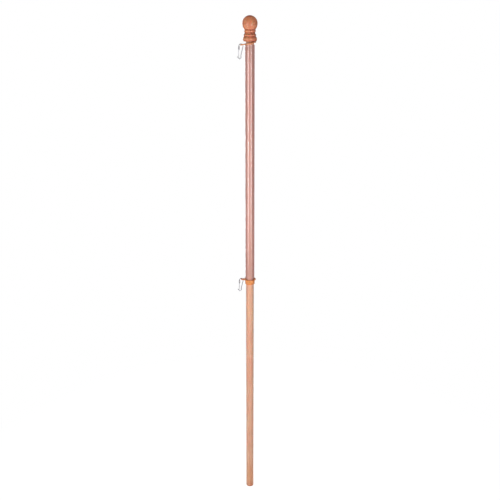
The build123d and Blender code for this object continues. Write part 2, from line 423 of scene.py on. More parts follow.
class Nodes:
    """A node tree, with short calls for the nodes that the finishes share."""

    def __init__(self, tree: bpy.types.NodeTree) -> None:
        """Works on a tree."""
        self.tree = tree

    def node(
        self, kind: str, inputs: dict[Any, Any] | None = None, **settings: Any
    ) -> bpy.types.Node:
        """Adds a node.

        Args:
            kind: The node's type.
            inputs: What its sockets take, by name or number: another socket or a plain value.
            **settings: The node's own settings.

        Returns:
            The node.
        """
        node = self.tree.nodes.new(kind)
        for key, value in settings.items():
            setattr(node, key, value)
        for key, value in (inputs or {}).items():
            self.feed(node.inputs[key], value)
        return node

    def feed(self, socket: Socket, value: Any) -> None:
        """Links a socket to another one, or gives it a plain value.

        Args:
            socket: The socket to feed.
            value: The other socket, or the plain value.
        """
        if isinstance(value, bpy.types.NodeSocket):
            self.tree.links.new(value, socket)
        else:
            socket.default_value = value

    def place(self) -> Socket:
        """Gives the point on the piece, in millimetres, which rides with it."""
        inputs = {0: self.node("ShaderNodeTexCoord").outputs["Object"], "Scale": 1 / MM}
        return self.node("ShaderNodeVectorMath", inputs, operation="SCALE").outputs[0]

    def math(self, operation: str, *values: Any) -> Socket:
        """Works out one number from one to three others."""
        return self.node("ShaderNodeMath", dict(enumerate(values)), operation=operation).outputs[0]

    def noise(self, vector: Socket, scale: float, detail: float, distortion: float = 0.0) -> Socket:
        """Gives a cloudy pattern between about 0.3 and 0.7."""
        inputs = {"Vector": vector, "Scale": scale, "Detail": detail, "Distortion": distortion}
        return self.node("ShaderNodeTexNoise", inputs).outputs[0]

    def grain(self, vector: Socket, pace: Pace, detail: float, distortion: float = 0.0) -> Socket:
        """Gives a cloudy pattern that changes at its own pace along each axis."""
        scaled = self.node("ShaderNodeVectorMath", {0: vector, 1: pace}, operation="MULTIPLY")
        return self.noise(scaled.outputs[0], 1.0, detail, distortion)

    def spread(
        self, value: Socket, low: float, high: float, out_low: float = 0.0, out_high: float = 1.0
    ) -> Socket:
        """Maps a number smoothly from one range to another and stops at its ends."""
        inputs = {0: value, 1: low, 2: high, 3: out_low, 4: out_high}
        return self.node("ShaderNodeMapRange", inputs, interpolation_type="SMOOTHSTEP").outputs[0]

    def ramp(self, value: Socket, *stops: tuple[float, Colour]) -> Socket:
        """Turns a number into a colour between two stops.

        Args:
            value: The number.
            *stops: The lower and the upper stop, each the number at it and its colour.

        Returns:
            The colour.
        """
        node = self.node("ShaderNodeValToRGB", {0: value})
        for element, (position, colour) in zip(node.color_ramp.elements, stops):
            element.position, element.color = position, colour
        return node.outputs[0]

    def blend(self, share: Any, under: Any, over: Any, kind: str = "MIX") -> Socket:
        """Blends one colour over another."""
        inputs = {0: share, 6: under, 7: over}
        return self.node("ShaderNodeMix", inputs, data_type="RGBA", blend_type=kind).outputs[2]

    def bump(self, height: Socket, distance: float) -> Socket:
        """Raises the surface by a pattern, up to a distance in metres."""
        inputs = {"Height": height, "Distance": distance, "Strength": 1.0}
        return self.node("ShaderNodeBump", inputs).outputs[0]

    def seen(self) -> Socket:
        """Tells the rays that show the background: straight, mirrored and through glass.

        Returns:
            1 for those rays and 0 for the others.
        """
        path = self.node("ShaderNodeLightPath")
        names = ("Is Camera Ray", "Is Glossy Ray", "Is Transmission Ray")
        camera, glossy, transmission = (path.outputs[name] for name in names)
        return self.math("MAXIMUM", self.math("MAXIMUM", camera, glossy), transmission)


class Recipe(Nodes):
    """A material's nodes, round its Principled surface."""

    def __init__(self, name: str) -> None:
        """Starts a material.

        Args:
            name: The material's name.
        """
        self.material = bpy.data.materials.new(name)
        self.material.use_nodes = True
        super().__init__(self.material.node_tree)
        self.surface = self.tree.nodes["Principled BSDF"]
        self.output = self.tree.nodes["Material Output"]

    def dress(self, inputs: dict[str, Any]) -> None:
        """Gives the Principled surface its inputs, by name."""
        for name, value in inputs.items():
            self.feed(self.surface.inputs[name], value)

    def show(self, shader: Socket) -> None:
        """Shows a plain shader in place of the Principled surface."""
        self.tree.nodes.remove(self.surface)
        self.feed(self.output.inputs["Surface"], shader)


@dataclass(frozen=True)
class ToneAndShadeBand:
    """A stretch of a wooden piece's height that is darker or warmer, in millimetres: a tone of the
    wood on the pole, painted shade in the finial's recesses.
    """

    low: float
    high: float
    fade: float
    tint: Colour
    share: float


@dataclass(frozen=True)
class Wood:
    """Varnished straight-grained wood, cut from a log whose pith lies beside the piece."""

    name: str
    early: Colour
    late: Colour
    blush: Colour
    pith: Point
    ring_width: float
    wander: float
    roughness: float
    coat: float
    coat_roughness: float
    end_grain: Colour
    # bands of tone, and on the finial bands of painted shade in the recesses
    bands: tuple[ToneAndShadeBand, ...]
    shine: float = 0.25
    glow: float = 0.25
    glow_depth: float = 2.5 * MM
    relief: float = 0.05 * MM

    # How often each pattern changes per millimetre, twice across the grain and once along it.
    DRIFT = (0.04, 0.04, 0.006)
    CLOUD = (0.05, 0.05, 0.011)
    FIBRE = (2.6, 2.6, 0.045)
    PORE = (5.5, 5.5, 0.16)

    def latewood(self, mix: Recipe, place: Socket) -> Socket:
        """Works out the growth rings.

        Args:
            mix: The wood's recipe.
            place: The point on the piece.

        Returns:
            The share of dark latewood, which ends sharply at each ring and differs between rings.
        """
        across = mix.node("ShaderNodeSeparateXYZ", {0: place}).outputs
        arms = [mix.math("SUBTRACT", axis, pith) for axis, pith in zip(across, self.pith)]
        reach = mix.math("SQRT", mix.math("ADD", *(mix.math("POWER", arm, 2.0) for arm in arms)))
        reach = mix.math("MULTIPLY_ADD", mix.grain(place, self.DRIFT, 3.0), self.wander, reach)
        rings = mix.math("DIVIDE", reach, self.ring_width)
        in_ring, number = mix.math("FRACT", rings), mix.math("FLOOR", rings)
        each = mix.node("ShaderNodeTexWhiteNoise", {"W": number}, noise_dimensions="1D").outputs[0]
        dark = mix.math("MULTIPLY", mix.spread(in_ring, 0.35, 0.93), mix.spread(in_ring, 1.0, 0.95))
        return mix.math("MULTIPLY", dark, mix.spread(each, 0.0, 1.0, 0.35, 1.0))

    def toned(self, mix: Recipe, place: Socket, colour: Socket) -> Socket:
        """Tints the wood along its bands, which on the finial are painted shade.

        Args:
            mix: The wood's recipe.
            place: The point on the piece.
            colour: The wood's colour so far.

        Returns:
            The tinted colour.
        """
        height = mix.node("ShaderNodeSeparateXYZ", {0: place}).outputs[2]
        for band in self.bands:
            above = mix.spread(height, band.low - band.fade, band.low, 0.0, band.share)
            below = mix.spread(height, band.high + band.fade, band.high)
            colour = mix.blend(mix.math("MULTIPLY", above, below), colour, band.tint, "MULTIPLY")
        return colour

    def material(self) -> bpy.types.Material:
        """Mixes the wood's growth rings, fibres, pores, bands of tone and painted shade, and
        varnish.

        Returns:
            The material.
        """
        mix = Recipe(self.name)
        place = mix.place()
        colour = mix.blend(self.latewood(mix, place), self.early, self.late)
        cloud = mix.grain(place, self.CLOUD, 3.0, 0.4)
        colour = mix.blend(mix.spread(cloud, 0.38, 0.66, 0.0, 0.8), colour, self.blush)
        fibres = mix.grain(place, self.FIBRE, 4.0)
        streak = mix.ramp(fibres, (0.30, srgb(222, 216, 210)), (0.62, srgb(255, 255, 255)))
        colour = mix.blend(0.9, colour, streak, "MULTIPLY")
        pores = mix.spread(mix.grain(place, self.PORE, 1.0), 0.66, 0.76)
        colour = mix.blend(mix.math("MULTIPLY", pores, 0.45), colour, self.late, "MULTIPLY")
        colour = self.toned(mix, place, colour)
        normal = mix.node("ShaderNodeNewGeometry").outputs["Normal"]
        upright = mix.math("ABSOLUTE", mix.node("ShaderNodeSeparateXYZ", {0: normal}).outputs[2])
        end = mix.spread(upright, 0.72, 1.0)
        rough = mix.math("MULTIPLY_ADD", mix.noise(place, 0.35, 3.0), 0.16, self.roughness - 0.08)
        rough = mix.math("MULTIPLY_ADD", pores, 0.12, rough)
        relief = mix.math("MULTIPLY_ADD", pores, -0.8, mix.math("MULTIPLY", fibres, 0.5))
        mix.dress({
            "Base Color": mix.blend(end, colour, self.end_grain, "MULTIPLY"),
            "Roughness": mix.math("MULTIPLY_ADD", end, 0.12, rough),
            "Normal": mix.bump(relief, self.relief),
            "Specular IOR Level": self.shine,
            "Subsurface Weight": self.glow,
            "Subsurface Radius": (1.0, 0.3, 0.15),
            "Subsurface Scale": self.glow_depth,
            "Coat Weight": self.coat,
            "Coat Roughness": self.coat_roughness,
        })
        return mix.material


@dataclass(frozen=True)
class HoneyPlastic:
    """Amber moulded plastic, glossy and a little cloudy, with flow lines and fine scratches."""

    name: str
    body: Colour
    deep: Colour
    roughness: float = 0.24
    glow: float = 0.18
    glow_depth: float = 2.5 * MM
    relief: float = 0.03 * MM

    # How often each pattern changes per millimetre, along each axis.
    FLOW = (0.25, 0.25, 1.4)
    SCRATCH = (1.1, 9.0, 3.0)

    def material(self) -> bpy.types.Material:
        """Mixes the plastic's colour clouds, flow lines, scratches and inner glow.

        Returns:
            The material.
        """
        mix = Recipe(self.name)
        place = mix.place()
        cloud = mix.noise(place, 0.09, 3.0, 1.2)
        flow = mix.grain(place, self.FLOW, 4.0, 2.5)
        shade = mix.math("MULTIPLY_ADD", flow, 0.35, mix.math("MULTIPLY", cloud, 0.65))
        colour = mix.blend(mix.spread(shade, 0.38, 0.66), self.body, self.deep)
        scratches = mix.spread(mix.grain(place, self.SCRATCH, 2.0, 0.3), 0.67, 0.72)
        specks = mix.spread(mix.noise(place, 2.3, 2.0), 0.70, 0.76)
        marks = mix.math("MAXIMUM", scratches, specks)
        rough = mix.math("MULTIPLY_ADD", mix.noise(place, 0.6, 3.0), 0.14, self.roughness - 0.07)
        relief = mix.math("MULTIPLY_ADD", marks, -0.5, mix.noise(place, 0.8, 2.0))
        mix.dress({
            "Base Color": mix.blend(
                mix.math("MULTIPLY", specks, 0.35), colour, self.deep, "MULTIPLY"
            ),
            "Roughness": mix.math("MULTIPLY_ADD", marks, 0.2, rough),
            "Normal": mix.bump(relief, self.relief),
            "Subsurface Weight": self.glow,
            "Subsurface Radius": (1.0, 0.45, 0.15),
            "Subsurface Scale": self.glow_depth,
        })
        return mix.material


@dataclass(frozen=True)
class ClearPlastic:
    """Clear extruded plastic with long lines and a rosy tint that deepens with its thickness."""

    name: str
    skin: Colour
    veil: Colour
    dye: Colour
    dye_per_metre: float
    roughness: float = 0.06
    cloudiness: float = 0.12
    bending: float = 1.03  # low, so that the pole stays where it is behind the wall
    gloss: float = 0.98
    gloss_bending: float = 1.68
    gloss_roughness: float = 0.25
    relief: float = 0.003 * MM

    # How often each pattern changes per millimetre, twice across the tube and once along it.
    LINE = (1.6, 1.6, 0.004)
    SCUFF = (2.4, 2.4, 0.5)

    def material(self) -> bpy.types.Material:
        """Mixes see-through plastic with faint haze, scuffs and a dye, and lets the lamps through.

        Returns:
            The material.
        """
        mix = Recipe(self.name)
        place = mix.place()
        lines = mix.grain(place, self.LINE, 3.0)
        scuffs = mix.spread(mix.grain(place, self.SCUFF, 4.0, 0.6), 0.64, 0.74)
        cloudy = mix.math("MULTIPLY_ADD", mix.spread(lines, 0.35, 0.68), self.cloudiness, scuffs)
        cloudy = mix.math("MULTIPLY", cloudy, 0.5)
        relief = mix.math("MULTIPLY_ADD", scuffs, 0.2, lines)
        mix.dress({
            "Base Color": mix.blend(cloudy, self.skin, self.veil),
            "Transmission Weight": mix.math("SUBTRACT", 1.0, cloudy),
            "IOR": self.bending,
            "Coat Weight": mix.math("MULTIPLY_ADD", scuffs, -0.05, self.gloss),
            "Coat IOR": self.gloss_bending,
            "Coat Roughness": self.gloss_roughness,
            "Roughness": mix.math("MULTIPLY_ADD", scuffs, 0.2, self.roughness),
            "Normal": mix.bump(relief, self.relief),
        })
        lit = mix.node("ShaderNodeBsdfTransparent", {"Color": self.skin}).outputs[0]
        rays = mix.node("ShaderNodeLightPath").outputs
        plain = mix.math("MAXIMUM", rays["Is Shadow Ray"], rays["Is Diffuse Ray"])
        shown = mix.node("ShaderNodeMixShader", {0: plain, 1: mix.surface.outputs[0], 2: lit})
        dye = {"Color": self.dye, "Density": self.dye_per_metre}
        dyed = mix.node("ShaderNodeVolumeAbsorption", dye)
        mix.feed(mix.output.inputs["Surface"], shown.outputs[0])
        mix.feed(mix.output.inputs["Volume"], dyed.outputs[0])
        return mix.material


@dataclass(frozen=True)
class PlatedMetal:
    """Plated or plain metal with drawing lines, small dull spots and handling marks."""

    name: str
    bright: Colour
    dull: Colour
    roughness: float
    relief: float = 0.012 * MM

    LINE = (9.0, 9.0, 0.7)  # how often the drawing lines change per millimetre, along each axis

    def material(self) -> bpy.types.Material:
        """Mixes the metal's bright and dull patches, drawing lines and spots.

        Returns:
            The material.
        """
        mix = Recipe(self.name)
        place = mix.place()
        patches = mix.noise(place, 0.45, 3.0, 0.5)
        lines = mix.grain(place, self.LINE, 3.0)
        spots = mix.spread(mix.noise(place, 1.9, 3.0), 0.66, 0.74)
        colour = mix.blend(mix.spread(patches, 0.42, 0.62), self.bright, self.dull)
        rough = mix.math("MULTIPLY_ADD", lines, 0.16, self.roughness - 0.08)
        mix.dress({
            "Base Color": mix.blend(
                mix.math("MULTIPLY", spots, 0.5), colour, self.dull, "MULTIPLY"
            ),
            "Metallic": 1.0,
            "Roughness": mix.math("MULTIPLY_ADD", spots, 0.2, rough),
            "Normal": mix.bump(mix.math("MULTIPLY_ADD", spots, -0.4, lines), self.relief),
        })
        return mix.material


# ---- The pole's sub-assemblies -------------------------------------------------------------------


def fitted(
    piece: bpy.types.Object, material: bpy.types.Material, node: str, body: str
) -> None:
    """Finishes a piece and puts it in its node's place.

    Args:
        piece: The piece, in place.
        material: Its finish.
        node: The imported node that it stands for.
        body: The body that it rides on.
    """
    smoothed(piece)
    piece.data.materials.clear()
    piece.data.materials.append(material)
    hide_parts(node)
    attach(piece, body)
    log.info("%s: %d points, stands for %s on %s", piece.name, len(piece.data.vertices), node, body)


def screw_place(y: float) -> Matrix:
    """Gives a place on the collar screw's axis, whose +Z points straight out of the collar's front.

    Args:
        y: How far back the place lies.

    Returns:
        The matrix from the place's own frame to the row frame.
    """
    low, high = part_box("collar_screw")
    return Matrix.Translation((0.0, y, (low.z + high.z) / 2)) @ Matrix.Rotation(QUARTER, 4, "X")


@dataclass
class Pole:
    """The dowel: a lower shaft with a rounded butt, a small shoulder and a slimmer upper shaft."""

    butt_rounding: float = 3.0 * MM
    shoulder_step: float = 0.3 * MM
    edge_ease: float = 0.12 * MM
    screw_bore_radius: float = 3.05 * MM
    screw_bore_depth: float = 25.0 * MM
    pilot_radius: float = 1.15 * MM
    pilot_depth: float = 9.55 * MM

    def finish(self) -> bpy.types.Material:
        """Gives the pole its pale varnished wood.

        Returns:
            The material.
        """
        return Wood(
            name="varnished_dowel",
            early=srgb(225, 178, 150), late=srgb(195, 138, 109), blush=srgb(215, 156, 133),
            pith=(46.0, 58.0), ring_width=2.3, wander=5.0,
            roughness=0.5, coat=0.12, coat_roughness=0.3, end_grain=srgb(214, 190, 168),
            bands=(
                ToneAndShadeBand(low=-10.0, high=40.0, fade=90.0, tint=srgb(250, 236, 216), share=0.8),
                ToneAndShadeBand(low=-10.0, high=1.5, fade=5.0, tint=srgb(206, 186, 164), share=0.9),
            ),
        ).material()

    def build(self) -> None:
        """Turns the dowel, bores it for its two screws and dresses it."""
        low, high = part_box("pole")
        shoulder, collar_top = (corner.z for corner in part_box("stop_collar"))
        radius, rounding = high.x, self.butt_rounding
        upper = radius - self.shoulder_step
        slant = rounding * (1 - math.sqrt(0.5))
        outline = Outline(0.0, low.z)
        outline.line((radius - rounding) * 0.5, low.z).line(radius - rounding, low.z)
        outline.arc((radius - slant, low.z + slant), (radius, low.z + rounding))
        outline.line(radius, low.z + 2 * rounding)
        outline.line(radius, shoulder, self.edge_ease).line(upper, shoulder)
        outline.line(upper, collar_top)
        outline.line(upper, high.z, self.edge_ease)
        outline.line(self.screw_bore_radius, high.z, self.edge_ease)
        outline.line(self.screw_bore_radius, high.z - self.screw_bore_depth)
        outline.line(0.0, high.z - self.screw_bore_depth)
        shaft = turned("pole_shaft", outline)
        bore = Outline(0.0, -self.pilot_depth).line(self.pilot_radius, -self.pilot_depth)
        bore.line(self.pilot_radius, PROUD).line(0.0, PROUD)
        cut(shaft, turned("pilot_cutter", bore, sides=24, place=screw_place(-upper)))
        fitted(shaft, self.finish(), "pole", "pole")


@dataclass
class Finial:
    """The turned ball finial, from the pole's socket up, with the dowel screw inside it."""

    socket_radius: float = 12.45 * MM
    socket_depth: float = 8.0 * MM
    screw_bore_radius: float = 3.05 * MM
    screw_bore_top: float = 33.05 * MM
    underside_radius: float = 19.2 * MM
    base_radius: float = 21.4 * MM
    base_height: float = 13.4 * MM
    base_rim_radius: float = 18.7 * MM
    groove_radius: float = 17.8 * MM
    groove_height: float = 1.1 * MM
    bead_radius: float = 18.9 * MM
    bead_height: float = 7.2 * MM
    cove_rim_radius: float = 16.6 * MM
    cove_radius: float = 15.7 * MM
    cove_height: float = 5.2 * MM
    neck_bead_radius: float = 17.6 * MM
    neck_bead_height: float = 6.6 * MM
    neck_groove_radius: float = 16.1 * MM
    neck_groove_height: float = 0.9 * MM
    ball_seat_radius: float = 16.9 * MM
    ball_lower_height: float = 17.8 * MM
    ease: float = 0.22 * MM
    # painted shade: the colour that darkens the turned grooves, the cove's upper part and the
    # base's foot
    groove_painted_shade: Colour = srgb(206, 160, 140)
    foot: float = field(init=False)
    groove_z: float = field(init=False)
    bead_z: float = field(init=False)
    cove_z: float = field(init=False)
    neck_z: float = field(init=False)
    neck_top: float = field(init=False)
    ball_z: float = field(init=False)

    def __post_init__(self) -> None:
        """Stacks the mouldings' heights on the finial's foot."""
        self.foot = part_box("finial")[0].z
        self.groove_z = self.foot + self.base_height
        self.bead_z = self.groove_z + self.groove_height
        self.cove_z = self.bead_z + self.bead_height
        self.neck_z = self.cove_z + self.cove_height
        self.ball_z = self.neck_z + self.neck_bead_height + self.neck_groove_height
        self.neck_top = self.ball_z - self.neck_groove_height

    def finish(self) -> bpy.types.Material:
        """Gives the finial its warmer, glossier wood, with painted shade in its grooves, cove and
        foot.

        Returns:
            The material.
        """
        # Painted shade: each band darkens the wood where a groove, the cove or the base's foot
        # falls into shade.
        bands = tuple(
            ToneAndShadeBand(low / MM, high / MM, fade, self.groove_painted_shade, share)
            for low, high, fade, share in (
                (self.groove_z, self.bead_z, 0.9, 0.9),  # the sharp groove over the base
                (self.neck_z - 3.0 * MM, self.neck_z - 0.3 * MM, 0.9, 0.9),  # the cove's upper part
                (self.foot - 1.0 * MM, self.foot + 2.4 * MM, 1.8, 0.75),  # the foot of the base
                (self.neck_top, self.ball_z, 0.9, 0.9),  # the groove under the ball
            )
        )
        return Wood(
            name="varnished_turned_wood",
            early=srgb(232, 156, 114), late=srgb(196, 112, 76), blush=srgb(220, 134, 104),
            pith=(-31.0, 40.0), ring_width=2.6, wander=4.0,
            roughness=0.42, coat=0.15, coat_roughness=0.2, end_grain=srgb(186, 128, 106),
            bands=bands,
        ).material()

    def outline(self) -> Outline:
        """Draws the finial's half outline from the bore's top round to the top of the ball.

        Returns:
            The outline.
        """
        low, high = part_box("finial")
        ball_radius, bore, ease = high.x, self.screw_bore_radius, self.ease
        bore_top, socket_top = low.z + self.screw_bore_top, low.z + self.socket_depth
        ball_middle = self.ball_z + self.ball_lower_height
        drop, inset = self.ball_lower_height, ball_radius - self.ball_seat_radius
        flank = (drop ** 2 + inset ** 2) / (2 * inset)  # radius of the ball's lower half
        half_turn = math.asin(drop / flank) / 2
        flank_middle = (
            ball_radius - flank + flank * math.cos(half_turn),
            ball_middle - flank * math.sin(half_turn),
        )
        diagonal = ball_radius * math.sqrt(0.5)
        outline = Outline(0.0, bore_top).line(bore, bore_top)
        outline.line(bore, socket_top).line(self.socket_radius, socket_top)
        outline.line(self.socket_radius, low.z, ease).line(self.underside_radius, low.z, ease)
        base_middle = (self.base_radius, low.z + self.base_height / 2)
        outline.arc(base_middle, (self.base_rim_radius, self.groove_z), ease)
        outline.line(self.groove_radius, self.groove_z).line(self.groove_radius, self.bead_z)
        for radius, foot, height, top in (
            (self.bead_radius, self.bead_z, self.bead_height, self.cove_z),
            (self.cove_radius, self.cove_z, self.cove_height, self.neck_z),
            (self.neck_bead_radius, self.neck_z, self.neck_bead_height, self.neck_top),
        ):
            outline.arc((radius, foot + height / 2), (self.cove_rim_radius, top), ease)
        outline.line(self.neck_groove_radius, self.neck_top)
        outline.line(self.neck_groove_radius, self.ball_z)
        outline.line(self.ball_seat_radius, self.ball_z, ease)
        outline.arc(flank_middle, (ball_radius, ball_middle))
        return outline.arc((diagonal, ball_middle + diagonal), (0.0, high.z))

    def build(self) -> None:
        """Turns the finial and dresses it and its screw."""
        ball = turned("ball_finial", self.outline(), sides=128)
        fitted(ball, self.finish(), "finial", "pole")
        steel = PlatedMetal(
            "screw_steel_zinc", bright=srgb(196, 197, 200), dull=srgb(150, 152, 156), roughness=0.34
        ).material()
        screw = frame["nodes"]["finial_screw"]
        for slot in screw.material_slots:
            slot.material = steel
        log.info("%s: dressed", screw.name)


@dataclass
class StopCollar:
    """The moulded collar that the rings and the tube stand on, with its slotted screw."""

    bore_radius: float = 12.45 * MM
    bevel: float = 1.8 * MM
    bevel_height: float = 2.4 * MM
    edge_ease: float = 0.45 * MM
    screw_bore_radius: float = 1.15 * MM
    sink_radius: float = 2.35 * MM
    screw_radius: float = 1.1 * MM
    screw_head_height: float = 1.3 * MM
    screw_ease: float = 0.08 * MM
    slot_width: float = 0.6 * MM
    slot_turn: float = 24.0

    def build(self, plastic: bpy.types.Material) -> None:
        """Turns the collar, sinks its screw hole and adds the screw.

        Args:
            plastic: The rings' and the collar's finish.
        """
        low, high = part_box("stop_collar")
        radius = high.x
        outline = Outline(self.bore_radius, low.z).line(radius - self.bevel, low.z, self.edge_ease)
        outline.line(radius, low.z + self.bevel_height, self.edge_ease)
        outline.line(radius, high.z, self.edge_ease)
        outline.line(self.bore_radius, high.z, self.edge_ease)
        collar = turned("stop_collar_sleeve", outline, joined=True, sides=128)
        wall = radius - self.bore_radius
        sink = self.sink_radius - self.screw_bore_radius
        bore = Outline(0.0, -2 * wall).line(self.screw_bore_radius, -2 * wall)
        bore.line(self.screw_bore_radius, -sink).line(self.sink_radius, 0.0)
        bore.line(self.sink_radius, PROUD).line(0.0, PROUD)
        front = screw_place(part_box("collar_screw")[0].y)
        cut(collar, turned("sink_cutter", bore, sides=48, place=front))
        fitted(collar, plastic, "stop_collar", "pole")
        self.build_screw()

    def build_screw(self) -> None:
        """Turns the countersunk screw and cuts its driver slot."""
        low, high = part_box("collar_screw")
        length, head, place = high.y - low.y, (high.x - low.x) / 2, screw_place(low.y)
        outline = Outline(0.0, -length).line(self.screw_radius, 2 * self.screw_radius - length)
        outline.line(self.screw_radius, -self.screw_head_height)
        outline.line(head, 0.0, self.screw_ease).line(0.0, 0.0)
        screw = turned("collar_screw_slotted", outline, sides=48, place=place)
        blade = bmesh.new()
        bmesh.ops.create_cube(blade, size=1.0)
        size = Matrix.Diagonal((3 * head, self.slot_width, 2 * self.slot_width, 1.0))
        blade.transform(place @ Matrix.Rotation(math.radians(self.slot_turn), 4, "Z") @ size)
        cut(screw, made("slot_cutter", blade))
        brass = PlatedMetal(
            "screw_brass_plate", bright=srgb(206, 160, 92), dull=srgb(150, 108, 60), roughness=0.36
        ).material()
        fitted(screw, brass, "collar_screw", "pole")


class TubeEnd(Enum):
    """Which end of the tube a ring and its clip are at."""

    LOWER = "lower"
    UPPER = "upper"


@dataclass
class TabRing:
    """One moulded ring: a flat band round the pole with a drilled tab for the clip."""

    end: TubeEnd
    tilt: float  # in radians, tab side down
    bore_radius: float = 13.5 * MM
    band: float = 5.8 * MM
    thickness: float = 3.0 * MM
    tab_reach: float = 23.6 * MM
    hole_radius: float = 3.0 * MM
    tab_rim: float = 3.0 * MM
    root_rounding: float = 4.0 * MM
    packed_edge: float = 0.3 * MM
    edge_rounding: float = 0.5 * MM
    sharp_from: float = 60.0  # degrees between two faces from which their edge is rounded

    def edge(self) -> list[Vector]:
        """Draws the ring's outer edge: round the band from root to root, then out round the tab.

        Returns:
            Flat points round the edge.
        """
        radius, side = self.bore_radius + self.band, self.hole_radius + self.tab_rim
        root = self.root_rounding
        root_y = side + root
        root_x = -math.sqrt((radius + root) ** 2 - root_y ** 2)
        meet = math.degrees(math.atan2(root_y, root_x))
        points = arc_points((0.0, 0.0), radius, meet, -2 * meet, step=3.0)
        points += arc_points((root_x, -root_y), root, 180 - meet, meet - 90, step=8.0)[1:]
        points += arc_points((-self.tab_reach, 0.0), side, -90, -180)
        points += arc_points((root_x, root_y), root, -90, meet - 90, step=8.0)[:-1]
        return points

    def place(self) -> Matrix:
        """Gives the place of the middle of the ring's underside.

        Returns:
            The matrix from the ring's own frame to the row frame.
        """
        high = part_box(f"{self.end.value}_ring")[1].z
        rim = self.bore_radius + self.band - self.packed_edge
        rise = rim * math.sin(self.tilt) + self.thickness * math.cos(self.tilt)
        middle = Vector((self.thickness / 2 * math.sin(self.tilt), 0.0, high - rise))
        return Matrix.Translation(middle) @ Matrix.Rotation(-self.tilt, 4, "Y")

    def build(self, plastic: bpy.types.Material) -> None:
        """Moulds the ring.

        Args:
            plastic: The rings' and the collar's finish.
        """
        form = bmesh.new()
        loops = (
            self.edge(),
            arc_points((0.0, 0.0), self.bore_radius, 0, 360, step=3.0)[:-1],
            arc_points((-self.tab_reach, 0.0), self.hole_radius, 0, 360, step=7.5)[:-1],
        )
        for loop in loops:
            corners = [form.verts.new(point.to_3d()) for point in loop]
            for corner, following in zip(corners, corners[1:] + corners[:1]):
                form.edges.new((corner, following))
        bmesh.ops.triangle_fill(form, use_beauty=True, use_dissolve=False, edges=form.edges)
        top = bmesh.ops.extrude_face_region(form, geom=form.faces[:])["geom"]
        raised = [item for item in top if isinstance(item, bmesh.types.BMVert)]
        bmesh.ops.translate(form, verts=raised, vec=(0.0, 0.0, self.thickness))
        bmesh.ops.recalc_face_normals(form, faces=form.faces)
        sharp = math.radians(self.sharp_from)
        rims = [edge for edge in form.edges if edge.calc_face_angle(0.0) > sharp]
        bmesh.ops.bevel(
            form, geom=rims, offset=self.edge_rounding, segments=4, profile=0.5, affect="EDGES",
            clamp_overlap=True,
        )
        form.transform(self.place())
        name = f"{self.end.value}_ring"
        fitted(made(f"{name}_moulded", form), plastic, name, name)


@dataclass
class AntiWrapTube:
    """The clear tube that turns freely round the upper shaft."""

    wall: float = 0.8 * MM
    end_ease: float = 0.2 * MM
    foot_hold: float = 1.0 * MM  # an extra ring of points this far up the bore keeps its foot even

    def build(self) -> None:
        """Draws the tube's wall round the shaft."""
        low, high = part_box("tube")
        radius = high.x
        bore = radius - self.wall
        outline = Outline(bore, low.z).line(radius, low.z, self.end_ease)
        outline.line(radius, high.z, self.end_ease).line(bore, high.z, self.end_ease)
        outline.line(bore, low.z + self.foot_hold)
        finish = ClearPlastic(
            name="clear_rosy_plastic",
            skin=(0.93, 0.93, 0.93, 1.0), veil=srgb(250, 224, 222),
            dye=(0.74, 0.28, 0.25, 1.0), dye_per_metre=440.0,
        )
        tube = turned("anti_wrap_tube", outline, joined=True, sides=128)
        fitted(tube, finish.material(), "tube", "tube")


